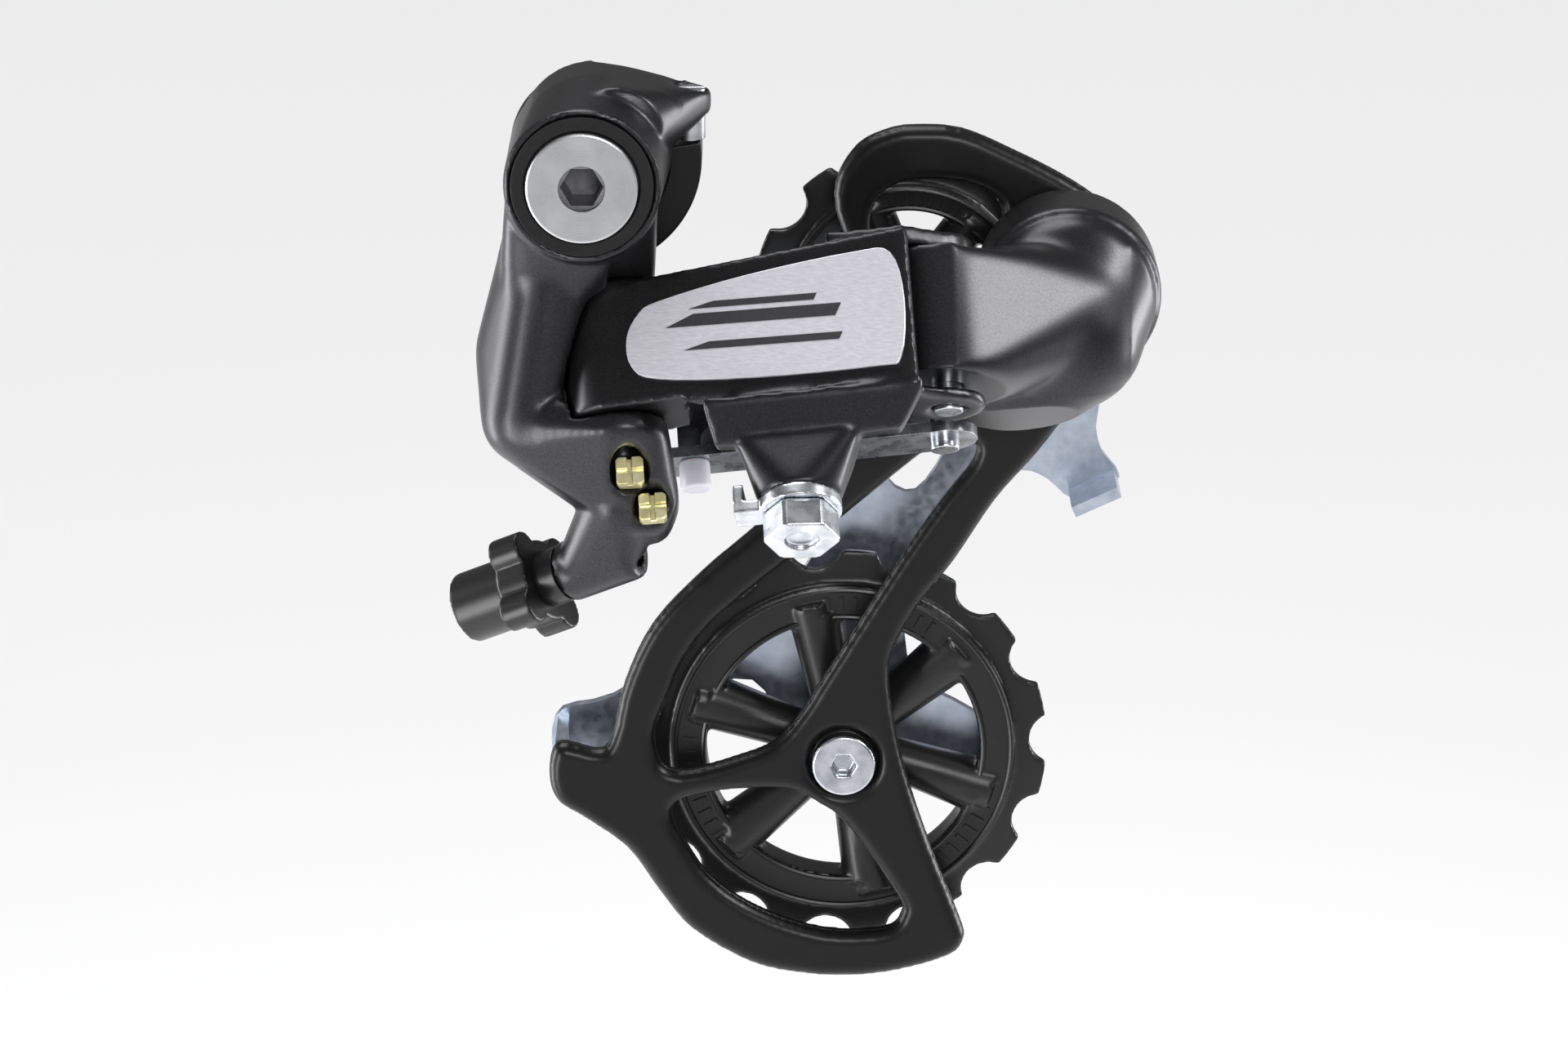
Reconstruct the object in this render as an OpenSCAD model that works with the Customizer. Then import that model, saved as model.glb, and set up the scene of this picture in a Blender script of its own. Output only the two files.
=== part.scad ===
// Rear bicycle derailleur, long cage. Millimetres, +X forward, +Y inboard, +Z up.
// The origin is the hanger bolt's axis at the hanger's outer face.

/* [Hanger bolt] */
// Diameter of the thread that screws into the frame's hanger
hanger_thread_d = 10; // [8:0.5:11.5]
// Length of that thread past the hanger's outer face
hanger_thread_len = 9; // [6:0.5:14]
// Diameter of the shank that the upper knuckle turns on
bolt_shank_d = 12; // [11.8:0.1:13]
// Diameter of the bolt's head
bolt_head_d = 15; // [14.5:0.5:17]
// Key size of the bolt's hex socket
bolt_hex = 5; // [4:0.5:6]
// Diameter of the round mouth around that socket
bolt_mouth_d = 6.2; // [6:0.1:8]

/* [Upper knuckle] */
// Depth of the knuckle's barrel along the bolt
knuckle_depth = 20.6; // [18:0.2:25]
// Outer diameter of the barrel
knuckle_d = 20.8; // [20:0.2:25]
// Thickness of the wall under the bolt's head
knuckle_front_wall = 3; // [2:0.5:4]
// Diameter of the cavity that holds the spring
knuckle_cavity_d = 17.6; // [17:0.2:18]
// Thickness of the stop plate's disc
stop_plate_t = 2; // [1.5:0.1:3]
// Outer radius of the stop plate's lobe
stop_lobe_r = 15.5; // [14.5:0.5:16.5]

/* [Linkage] */
// Distance between the two pivots of each link
link_len = 43.5; // [36:0.5:53]
// Distance between the outer and the inner link's pivots
pin_gap = 16; // [15.5:0.5:17]
// Diameter of the four link pins
pin_d = 4; // [3:0.1:4.8]
// Angle of the pins from vertical towards the wheel
link_slant = 36; // [32:1:40]
// Angle of the pins from vertical towards the rear
link_lean = 4; // [2:1:6]
// Angle of the links outboard of the travel's zero line, at rest
link_rest = 6; // [4:1:8]
// Height of the knuckle bosses between the link's lugs
boss_h = 18; // [16:0.5:20]
// Radius of the outer link's barrel
barrel_r = 7.2; // [6.5:0.1:7.4]
// Thickness of the link lugs
lug_t = 2.6; // [2.5:0.1:4]
// Thickness of the inner link's steel
channel_t = 1.5; // [1.2:0.1:2]
// Thickness of the name plate
name_plate_t = 0.6; // [0.4:0.1:1]

/* [Cage] */
// Distance between the pulley centres
pulley_spacing = 67; // [62:0.5:81]
// Pitch of the chain that the pulleys carry
chain_pitch = 12.7; // [12.6:0.1:12.8]
// Diameter of the chain's rollers
roller_d = 7.75; // [7.6:0.05:8]
// Number of teeth on the guide pulley
guide_teeth = 11; // [10:1:12]
// Number of teeth on the tension pulley
tension_teeth = 15; // [14:1:15]
// Thickness of the outer cage plate
outer_plate_t = 3; // [2.5:0.1:4]
// Thickness of the inner cage plate
inner_plate_t = 1.6; // [1.2:0.1:2.5]
// Gap between the cage plates
cage_gap = 11.2; // [10:0.2:13.5]
// Diameter of the pulley bolts
pulley_bolt_d = 5; // [4.5:0.1:5.5]
// Diameter of the pulley bolts' heads
pulley_head_d = 9; // [8:0.5:10]
// Outer diameter of the pulley bushes
pulley_bush_d = 8; // [7.5:0.1:9]
// Diameter of the axle that the cage turns on
cage_axle_d = 8; // [7:0.2:9.6]

/* [Cable] */
// Bore of the barrel adjuster, which seats the cable housing
housing_bore_d = 5.2; // [5:0.1:5.4]
// Depth of that bore
housing_bore_len = 7.2; // [5:0.2:7.4]
// Diameter of the cable adjusting bolt
adjust_bolt_d = 5; // [4.6:0.1:5.4]
// Hex size of the cable clamp bolt
clamp_hex = 9; // [8:0.5:10]

/* [Fits] */
// Radial clearance of a shaft that turns in its hole
run_gap = 0.05; // [0.03:0.01:0.08]
// Radial clearance of the one link pivot that is left open
open_gap = 0.1; // [0.1:0.01:0.15]
// Gap between faces of bodies that move past each other
face_gap = 0.2; // [0.15:0.05:0.3]

/* [Hidden] */
$fn = 64;

// Lengths along the hanger bolt, from the hanger's face outboard.
plate_back = 0;
plate_front = -stop_plate_t;
knuckle_back = plate_front - 2 * face_gap;
knuckle_front = knuckle_back - knuckle_depth;
head_seat = knuckle_front + 2.5;
head_face = knuckle_front - 1;
cavity_front = head_seat + knuckle_front_wall;
ring_t = 0.8;
ring_back = knuckle_back - 0.2;
bush_back = ring_back - ring_t - face_gap;
bush_len = 3.3;
cavity_r = knuckle_cavity_d / 2;
shank_r = bolt_shank_d / 2;
seal_r = bolt_head_d / 2 + 1.9;
b_wire = 2.0;
b_mean_r = (shank_r + cavity_r) / 2;
lobe_in_r = knuckle_d / 2 + 0.8;
lobe_front = -8;
lobe_a0 = -62;
lobe_a1 = 8;
swing_back = 22;
screw_x = 14;
screw_y = -5.6;
screw_tip_z = screw_x * tan(lobe_a1) + 0.3;

// Linkage frame: origin on pin A at mid height, z along the pins.
pin_a_mid = [4.3, -16, -25.6];
pin_r = pin_d / 2;
half_h = boss_h / 2;
lug_in = half_h + face_gap;
lug_out = lug_in + lug_t;
pin_half = lug_out + 0.3;
link_x = [cos(link_lean), sin(link_lean) * sin(link_slant), sin(link_lean) * cos(link_slant)];
link_y = [0, cos(link_slant), -sin(link_slant)];
pin_c_mid = pin_a_mid + link_len * (cos(link_rest) * link_x - sin(link_rest) * link_y);
boss_c_r = 8.5;
boss_c_cut_r = boss_c_r + 0.9;
boss_d_r = 4.6;
boss_b_r = 5;
fork_back = pin_gap - boss_b_r - 0.6;
shell_front = -12.5;
shell_end = link_len - 3;
lug_front = -8.8;
channel_in = half_h + face_gap;
channel_out = channel_in + channel_t;
channel_w = 4.2;
return_r = 4.3;
return_wire = 1.4;
return_turns = 5;

// Lower pivot, which the cage turns on, and the pulleys, seen from outboard as [x, z].
cage_pivot = [pin_c_mid[0] + 17.7, pin_c_mid[2] + 0.3];
guide_at = [-21.5, -5.6];
cage_tilt = 7.5;
tension_at = guide_at + pulley_spacing * [-sin(cage_tilt), -cos(cage_tilt)];
plate_out = 6.4;
plate_in = plate_out + outer_plate_t;
inner_out = plate_in + cage_gap;
inner_in = inner_out + inner_plate_t;
pulley_y = (plate_in + inner_out) / 2;
cap_t = 1.6;
bush_half = cage_gap / 2 - cap_t;
flange_r = 12.5;
flange_back = plate_out - 0.7;
p_cavity_r = 9.6;
p_cavity_front = -3;
p_mean_r = (cage_axle_d / 2 + p_cavity_r) / 2;
p_wire = 2.4;
stop_pin_r = 15.3;
stop_pin_a = -100;
head_recess = 1.2;

// Cable line: from the barrel adjuster through the knuckle's boss towards the clamp.
cable_end = [6.1, -18, -51.6];
cable_yaw = 22;
cable_rise = 25.5;
boss_len = 10.7;
collar_len = 3.4;
flange_len = 4.7;
knob_len = 8.4;
knob_r = 4.9;
collar_r = 3.9;
knob_in = -boss_len - collar_len;
knob_mid = knob_in - flange_len;
knob_out = knob_mid - knob_len;

// Cable clamp under the outer link's tongue, in the linkage frame.
clamp_at = [23.4, -6.5, -24.5];
clamp_tilt = 12;
clamp_bolt_r = 2.5;
washer_t = 1.8;
clamp_head_h = 4.2;

function catmull(a, b, c, d, t) = 0.5 * (2 * b + (c - a) * t + (2 * a - 5 * b + 4 * c - d) * t * t
  + (3 * b - a - 3 * c + d) * t * t * t);
// Closed smooth curve through hand-placed points
function smooth(p, n = 4) = let (m = len(p)) [for (i = [0:m - 1]) for (k = [0:n - 1])
  catmull(p[(i + m - 1) % m], p[i], p[(i + 1) % m], p[(i + 2) % m], k / n)];
function near_tension(p) = [for (q = p) q + tension_at];

// Cylinder along the hanger bolt's direction, from y0 to y1
module ycyl(r, y0, y1) translate([0, y0, 0]) rotate([-90, 0, 0]) cylinder(r = r, h = y1 - y0);
// Outline drawn in x and z, from y0 to y1
module yplate(y0, y1) translate([0, y1, 0]) rotate([90, 0, 0]) linear_extrude(y1 - y0) children();
// Cylinder from z0 to z1
module zcyl(r, z0, z1) translate([0, 0, z0]) cylinder(r = r, h = z1 - z0);
module tube(ro, ri, z0, z1) difference() { zcyl(ro, z0, z1); zcyl(ri, z0 - 1, z1 + 1); }
module ytube(ro, ri, y0, y1) difference() { ycyl(ro, y0, y1); ycyl(ri, y0 - 1, y1 + 1); }
// Linkage frame, square to the knuckles
module pins(at = pin_a_mid) translate(at) rotate([-link_slant, 0, 0]) rotate([0, -link_lean, 0]) children();
// The same frame turned so that x runs along the links
module links(at = pin_a_mid) pins(at) rotate([0, 0, -link_rest]) children();
module to_b() translate([0, pin_gap, 0]) children();
module pivot() translate([cage_pivot[0], 0, cage_pivot[1]]) children();
module at_guide() pivot() translate([guide_at[0], 0, guide_at[1]]) children();
module at_tension() pivot() translate([tension_at[0], 0, tension_at[1]]) children();
module cable_line() translate(cable_end) rotate([0, 0, -cable_yaw]) rotate([0, 90 - cable_rise, 0]) children();
module clamp_seat() translate(clamp_at) rotate([-clamp_tilt, 0, 0]) children();
module at_clamp() links() clamp_seat() children();
// Close-wound coil standing on z = 0
module coil(mean_r, wire_r, turns) rotate_extrude()
  for (i = [0:turns - 1]) translate([mean_r, wire_r * (1 + 1.9 * i)]) circle(wire_r, $fn = 24);
module link_pin() {
  zcyl(pin_r, -pin_half, pin_half);
}
module dust_cap(y0, y1) ytube(6.4, pulley_bolt_d / 2 + run_gap, y0, y1);
module pulley_bush_at() ytube(pulley_bush_d / 2, pulley_bolt_d / 2 + run_gap, pulley_y - bush_half, pulley_y + bush_half);
module pulley_bolt() difference() {
  union() {
    ycyl(pulley_head_d / 2, plate_out - 1, plate_out + head_recess);
    ycyl(pulley_bolt_d / 2, plate_out, inner_in + 0.6);
  }
  translate([0, plate_out - 1.1, 0]) rotate([-90, 0, 0]) cylinder(r = 3 / sqrt(3), h = 1.9, $fn = 6);
}
module pulley(teeth, tip_r, rim_in, rim_out, rib_r, first_tooth, first_rib) {
  pitch_r = chain_pitch / (2 * sin(180 / teeth));
  difference() {
    union() {
      ytube(tip_r, rim_in + 1, pulley_y - 1.1, pulley_y + 1.1);
      ytube(rim_out, rim_in, pulley_y - 2.6, pulley_y + 2.6);
      ycyl(7, pulley_y - bush_half + face_gap, pulley_y + bush_half - face_gap);
      for (k = [0:5]) rotate([0, -first_rib - 60 * k, 0]) translate([5, pulley_y, 0]) rotate([0, 90, 0])
        cylinder(r1 = 2.6, r2 = rib_r, h = rim_in - 4, $fn = 32);
    }
    for (k = [0:teeth - 1]) rotate([0, -first_tooth - (k + 0.5) * 360 / teeth, 0])
      translate([pitch_r, 0, 0]) ycyl(roller_d / 2, pulley_y - 2, pulley_y + 2);
    ycyl(pulley_bush_d / 2 + run_gap, pulley_y - 9, pulley_y + 9);
  }
}

module mounting_bolt() color("silver") difference() {
  union() {
    ycyl(bolt_head_d / 2, head_face, head_seat);
    ycyl(shank_r, head_seat - 0.5, plate_back);
    ycyl(hanger_thread_d / 2, -1, hanger_thread_len);
  }
  ycyl(bolt_mouth_d / 2, head_face - 1, head_face + 1);
  translate([0, head_face - 1, 0]) rotate([-90, 0, 0]) cylinder(r = bolt_hex / sqrt(3), h = 8, $fn = 6);
  ytube(shank_r + 1, shank_r - 0.6, ring_back - ring_t - 0.1, ring_back + 0.1);
}
module stop_plate() color("dimgray") difference() {
  union() {
    ycyl(knuckle_d / 2, plate_front, plate_back);
    rotate([-90, 0, 0]) rotate_extrude(angle = lobe_a1 - lobe_a0, start = -lobe_a1)
      translate([knuckle_d / 2 - 3, plate_front]) square([stop_lobe_r - knuckle_d / 2 + 3, stop_plate_t]);
    rotate([-90, 0, 0]) rotate_extrude(angle = lobe_a1 - lobe_a0, start = -lobe_a1)
      translate([lobe_in_r, lobe_front]) square([stop_lobe_r - lobe_in_r, -lobe_front]);
  }
  ycyl(shank_r, -9, 9);
}
module bolt_retaining_ring() color("gray")
  ytube(shank_r + 1.8, shank_r - 0.6, ring_back - ring_t, ring_back);
module bolt_seal_ring() color("black")
  ytube(seal_r, bolt_head_d / 2 + 2 * run_gap, knuckle_front - 0.4, head_seat);

module b_knuckle() color([0.2, 0.2, 0.21]) difference() {
  union() {
    ycyl(knuckle_d / 2, knuckle_front, knuckle_back);
    hull() {
      ycyl(knuckle_d / 2, knuckle_front + 1, knuckle_front + 4, $fn = 48);
      translate([1.2, 0, 1.9]) ycyl(knuckle_d / 2, knuckle_back - 9, knuckle_back, $fn = 48);
    }
    // Lip that the B-tension screw goes through
    hull() {
      translate([4, 0, 5.5]) ycyl(6.4, -17, knuckle_back, $fn = 40);
      translate([screw_x, screw_y, 6]) cylinder(r = 2.8, h = 3, $fn = 24);
    }
    hull() {
      ycyl(knuckle_d / 2 - 0.4, knuckle_front + 1, -9.6, $fn = 48);
      pins() zcyl(5.4, lug_in, lug_out, $fn = 40);
      pins() translate([-11, 0, 6]) sphere(r = 5, $fn = 24);
    }
    hull() {
      pins() translate([-12.2, 3, 3]) sphere(r = 7, $fn = 32);
      pins() translate([-12.5, 4, -6]) sphere(r = 6.5, $fn = 32);
      translate([-3, -13, -4]) sphere(r = 6.5, $fn = 24);
    }
    hull() {
      pins() zcyl(6, -lug_out, -lug_in, $fn = 40);
      pins() translate([-12, 4, -7]) sphere(r = 6, $fn = 32);
      pins() translate([1.5, 9, -17]) rotate([-90, 0, 0]) cylinder(r = 5.4, h = 5, center = true, $fn = 32);
      pins() translate([2.8, 10, -19.4]) rotate([-90, 0, 0]) cylinder(r = 3.2, h = 4, center = true, $fn = 32);
    }
    hull() {
      pins() to_b() zcyl(boss_b_r, -half_h, half_h, $fn = 40);
      pins() translate([-12, 6, -1]) sphere(r = 6, $fn = 32);
    }
    hull() {
      cable_line() zcyl(4.1, -boss_len + 1.5, -1, $fn = 32);
      pins() translate([-1, 8, -17]) sphere(r = 5, $fn = 24);
    }
    cable_line() zcyl(4.2, -boss_len, 0);
  }
  // Seat of the bolt's head and seal ring, shank bore and spring cavity
  ycyl(seal_r, knuckle_front - 1, head_seat);
  ycyl(shank_r + run_gap, knuckle_front - 1, 1);
  ycyl(cavity_r, cavity_front, 1);
  // Rear face, and the path of the stop plate's lobe
  translate([-30, knuckle_back, -12]) cube([60, 10, 50]);
  rotate([-90, 0, 0]) rotate_extrude(angle = lobe_a1 - lobe_a0 + swing_back + 5, start = -lobe_a1 - 3)
    translate([lobe_in_r - 0.3, lobe_front - 0.5]) square([20, 20]);
  // Fork around the outer link's barrel
  pins() zcyl(barrel_r + 0.5, -lug_in, lug_in);
  pins() translate([0, 0, -lug_in]) linear_extrude(2 * lug_in)
    polygon([[0, -16], [40, -16], [40, fork_back], [-0.6, fork_back], [-2, barrel_r - 0.2]]);
  // Pin bores: fixed at A, turning at B
  pins() zcyl(pin_r, -20, 20);
  pins() to_b() zcyl(pin_r + run_gap, -15, 15);
  // Room for the inner link's flanges
  for (s = [0, 1]) mirror_z_at_b(s);
  // Tapped holes
  translate([screw_x, screw_y, 0]) zcyl(2 + run_gap, -1, 20);
  for (q = [[0.6, 0.1, -15.6], [3.3, 3.1, -19.8]]) pins() translate(q) {
    ycyl(1.5 + run_gap, -20, 25);
    ycyl(2.6, -20, 2.6);
  }
  cable_line() zcyl(adjust_bolt_d / 2 + 0.02, -boss_len - 1, 1);
}
// Pocket for one flange of the inner link, above or below its boss
module mirror_z_at_b(s) pins() to_b() mirror([0, 0, s]) {
  zcyl(5.2, half_h, half_h + 4);
  translate([0, -5.2, half_h]) cube([30, 14, 4]);
}
module b_bush() color("tan") ytube(cavity_r, shank_r + run_gap, bush_back - bush_len, bush_back);
module b_spring() color("gray") translate([0, cavity_front + 0.1, 0]) rotate([-90, 0, 0])
  coil(b_mean_r, b_wire / 2, floor((bush_back - bush_len - cavity_front - b_wire) / (0.95 * b_wire)) + 1);
module b_tension_screw() color("silver") translate([screw_x, screw_y, 0]) difference() {
  zcyl(2, screw_tip_z, 9.2);
  translate([-3, -0.4, 8.4]) cube([6, 0.8, 2]);
}
// Screw along the inboard direction of the linkage frame, with a rounded square head at y = 0
module limit_screw(len) {
  difference() {
    intersection() {
      translate([-1.85, 0, -1.85]) cube([3.7, 2.4, 3.7]);
      ycyl(2.35, 0, 2.4);
    }
    translate([-2, -1, -0.35]) cube([4, 2, 0.7]);
    translate([-0.35, -1, -2]) cube([0.7, 2, 4]);
  }
  ycyl(1.5, 2.3, len);
}
module limit_screw_high() color([0.8, 0.72, 0.35]) pins() translate([0.6, 0.1, -15.6]) limit_screw(12.5);
module limit_screw_low() color([0.8, 0.72, 0.35]) pins() translate([3.3, 3.1, -19.8]) limit_screw(10.5);
module barrel_adjuster() color("black") cable_line() difference() {
  union() {
    zcyl(knob_r, knob_out, knob_mid + 1);
    translate([0, 0, knob_mid]) linear_extrude(flange_len) {
      circle(r = 5.7);
      for (k = [0:3]) rotate(20 + 90 * k) translate([5.6, 0]) circle(r = 2.5);
    }
  }
  zcyl(housing_bore_d / 2, knob_out - 1, knob_out + housing_bore_len);
  zcyl(adjust_bolt_d / 2, knob_out + housing_bore_len + 0.6, knob_in + 1);
  zcyl(1, knob_out, knob_in);
}
module cable_adjusting_bolt() color("silver") cable_line()
  tube(adjust_bolt_d / 2, 1, knob_out + housing_bore_len + 0.6, -5);
module adjuster_collar() color("black") cable_line()
  tube(collar_r, collar_r - 0.5, knob_in, -boss_len - face_gap);
module adjuster_spring() color("gray") cable_line() translate([0, 0, knob_in + 0.05])
  coil(adjust_bolt_d / 2 + 0.43, 0.38, 4);
module pin_a() color("silver") pins() link_pin();

// Plan of a lug from the outer link's shell round pin C
module lug_plan() {
  polygon([[link_len - 14, lug_front], [link_len - 3.5, lug_front], [link_len + 4.2, -2.8],
    [link_len - 3, 4], [link_len - 9, -2], [link_len - 14, -6]]);
  translate([link_len, 0]) circle(r = 5);
}
module outer_link() color([0.15, 0.15, 0.16]) links() difference() {
  union() {
    zcyl(barrel_r, -half_h, half_h);
    hull() {
      zcyl(barrel_r - 0.1, -half_h, half_h - 1, $fn = 48);
      translate([shell_end - 0.5, shell_front, -lug_out]) cube([0.5, 3, lug_out + lug_in + 1]);
    }
    translate([0, 0, lug_in]) linear_extrude(lug_t) lug_plan();
    translate([0, 0, -lug_out]) linear_extrude(lug_t) lug_plan();
    // Fascia below the shell's crease
    hull() {
      translate([12, shell_front + 0.3, -lug_out]) cube([link_len - 14.5, 3, 1]);
      translate([13, -9.5, -16.6]) cube([link_len - 19, 3, 1]);
    }
    hull() {
      translate([15.5, -9.5, -15]) cube([17, 7, 1]);
      clamp_seat() zcyl(5.4, 0, 1.5, $fn = 40);
    }
  }
  // Hollow back
  translate([0, 0, -10.2]) linear_extrude(16.8)
    polygon([[9.5, -5.4], [link_len - 9, -9.1], [link_len + 9, -9.1], [link_len + 9, 14], [9.5, 14]]);
  translate([link_len, 0, 0]) zcyl(boss_c_cut_r, -lug_in, lug_in);
  translate([link_len, 0, -lug_in]) linear_extrude(2 * lug_in)
    polygon([[-4, -8.4], [20, -8.4], [20, 20], [-20, 20], [-20, 0]]);
  // Path of the upper knuckle's lower lug
  zcyl(12.4, -20, -half_h);
  zcyl(pin_r + run_gap, -20, 20);
  translate([link_len, 0, 0]) zcyl(pin_r, -20, 20);
  clamp_seat() zcyl(clamp_bolt_r, -1, 9);
}
// The plate lies on the shell's face, which runs from the barrel to the shell's end
face_turn = atan(-shell_front / (shell_end - 0.5)) - asin((barrel_r - 0.1) / norm([shell_end - 0.5, shell_front]));
module name_plate() color("lightgray") links() rotate([0, 0, -face_turn])
  translate([0, -barrel_r + 0.08, 0]) rotate([90, 0, 0]) linear_extrude(name_plate_t)
  polygon(smooth([[5, 3.2], [8, 4.6], [20, 6.4], [shell_end - 6, 7.4], [shell_end - 1, 6.6], [shell_end + 0.4, 0],
    [shell_end - 0.6, -8], [shell_end - 4, -8.8], [20, -8], [7, -6.2], [3.6, -4], [3.2, 0]], 4));
module pin_c() color("silver") links() translate([link_len, 0, 0]) link_pin();
module cable_clamp_washer() color("silver") at_clamp() difference() {
  union() {
    zcyl(5.5, -washer_t, 0);
    translate([-8.6, -2, -washer_t]) cube([5, 4, washer_t]);
    translate([-8.6, -2, -washer_t]) cube([1.4, 4, 4.2]);
  }
  zcyl(clamp_bolt_r + 0.1, -9, 9);
}
module cable_clamp_bolt() color("silver") at_clamp() difference() {
  union() {
    rotate([0, 0, 10]) translate([0, 0, -washer_t - clamp_head_h])
      intersection() {
        cylinder(r = clamp_hex / sqrt(3), h = clamp_head_h, $fn = 6);
        cylinder(r = clamp_hex / sqrt(3) - 0.25, h = clamp_head_h);
      }
    zcyl(clamp_bolt_r, -washer_t - 1, 8.5);
  }
  zcyl(2.2, -washer_t - clamp_head_h - 1, -washer_t - clamp_head_h + 0.8);
}

module channel_flange() {
  circle(r = 4.5);
  translate([link_len, 0]) circle(r = 4.5);
  translate([0, -channel_w]) square([link_len, 2 * channel_w]);
}
module inner_link() color("lightgray") links() to_inner() difference() {
  union() {
    translate([0, 0, channel_in]) linear_extrude(channel_t) channel_flange();
    translate([0, 0, -channel_out]) linear_extrude(channel_t) channel_flange();
    translate([7, channel_w - channel_t, -channel_in - 0.5]) cube([link_len - 14, channel_t, 2 * channel_in + 1]);
    translate([13, -channel_w, -channel_out + 2]) rotate([-90, 0, 0]) difference() {
      cylinder(r = 2.2, h = channel_t);
      translate([-3, 0.6, -1]) cube([6, 3, 4]);
    }
  }
  zcyl(pin_r, -20, 20);
  translate([link_len, 0, 0]) zcyl(pin_r, -20, 20);
  translate([9.5, -1.6, 0]) zcyl(1.2, -20, 0);
}
// Pin B, seen from the turned frame at pin A
module to_inner() rotate([0, 0, link_rest]) to_b() rotate([0, 0, -link_rest]) children();
module pin_b() color("silver") pins() to_b() link_pin();
module pin_d() color("silver") pins(pin_c_mid) to_b() link_pin();
module limit_stop_pad() color("whitesmoke") links() to_inner() translate([9.5, -1.6, 0]) {
  zcyl(2.1, -channel_out - 4, -channel_out);
  zcyl(1.2, -channel_out - 0.5, -channel_in);
}
module link_return_spring() color("gray") pins(pin_c_mid) translate([0, 0, half_h - 8])
  coil(return_r, return_wire / 2, return_turns);

module p_knuckle() color([0.18, 0.18, 0.19]) difference() {
  union() {
    pivot() ycyl(flange_r, -5, flange_back);
    pins(pin_c_mid) to_b() zcyl(boss_d_r, -half_h, half_h);
    // Web between the two pivots
    pins(pin_c_mid) translate([0, 0, -half_h + 0.5]) linear_extrude(boss_h - 1)
      polygon([[-4, 2], [7, 2], [3.9, pin_gap], [-3.9, pin_gap]]);
    // Dome in front
    hull() {
      pins(pin_c_mid) zcyl(boss_c_r, -half_h, half_h, $fn = 48);
      pivot() translate([0.3, -7.4, -1.2]) sphere(r = 8.6, $fn = 36);
      pivot() translate([-6, -6, 3]) sphere(r = 4, $fn = 24);
    }
    // Belly around the spring
    hull() {
      pins(pin_c_mid) translate([2, pin_gap - 1, 0]) zcyl(2.6, -half_h + 1.5, half_h - 5, $fn = 24);
      pivot() translate([0, -7.6, -4.6]) sphere(r = 10, $fn = 36);
      pivot() translate([-8.2, -8, -16.6]) sphere(r = 4, $fn = 24);
      pivot() ycyl(flange_r - 1, -7, -2, $fn = 40);
    }
    // Stop that the cage's pin rests against
    pivot() rotate([0, -stop_pin_a, 0]) translate([flange_r - 1, -1, -4.9]) cube([4.4, flange_back + 0.5, 3]);
  }
  pivot() ycyl(p_cavity_r, p_cavity_front, 9);
  pivot() ycyl(cage_axle_d / 2 + run_gap, -8.4, 9);
  pins(pin_c_mid) zcyl(pin_r + run_gap, -20, 20);
  pins(pin_c_mid) zcyl(return_r + return_wire / 2 + 0.4, half_h - 8.2, half_h + 1);
  pins(pin_c_mid) to_b() zcyl(pin_r + open_gap, -20, 20);
  // Paths of the outer link's lugs and the inner link's flanges
  for (s = [0, 1]) pins(pin_c_mid) mirror([0, 0, s]) {
    zcyl(7.3, half_h - 0.03, half_h + 6);
    translate([-20, -20, half_h - 0.01]) cube([25, 20 + pin_gap, 6]);
    translate([0, 0, half_h - 0.01]) linear_extrude(6)
      polygon([[0, 0], [0, -14], [14 * cos(18), -14 * sin(18)]]);
    translate([0, pin_gap, 0]) zcyl(5.3, half_h - 0.02, half_h + 6);
  }
}
module p_spring() color("gray") pivot() translate([0, p_cavity_front + 0.1, 0]) rotate([-90, 0, 0])
  coil(p_mean_r, p_wire / 2, 3);
module p_axle() color("silver") pivot() {
  ycyl(cage_axle_d / 2, -8, plate_in);
}
module p_seal_washer() color("black") pivot() ytube(flange_r - 0.5, cage_axle_d / 2, flange_back + face_gap, plate_out);
module cage_stop_pin() color("silver") pivot() rotate([0, -stop_pin_a, 0]) translate([stop_pin_r, 0, 0])
  ycyl(1.6, 2, plate_out + 1.5);

upper_rim = [[8.7, 7], [3.6, 11], [-0.9, 13.9], [-6.5, 16.8], [-14.3, 20.2], [-21, 20.7], [-24.9, 20], [-28.7, 17.9],
  [-31.5, 13.3], [-31.6, 8.7], [-30, 3], [-30, -8], [-30, -19], [-34, -28.5]];
lower_rim = [[-12.5, 34.9], [-19.9, 28.3], [-26.9, 20.5], [-30.9, 11.9], [-32.8, 4], [-34.6, 1.6], [-40.4, 2.7],
  [-41.8, -1.5], [-40.7, -6], [-36.4, -9], [-30.6, -13.5], [-26, -20.3], [-21.4, -26], [-13.2, -31], [-6.2, -32.7],
  [0.8, -33.1], [7.9, -32.3], [15.4, -29.9], [17.3, -27.4], [16.9, -24.7], [12.4, -12.8], [8.8, -1.5], [7, 7],
  [6.4, 14.4], [8.1, 19.2], [10.9, 24.1], [15.4, 30.1]];
hub_rim = [[-9.2, -33], [-3.6, -26.3], [2.5, -18], [8.5, -10.5], [12.4, -3], [12, 2.5]];
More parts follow.
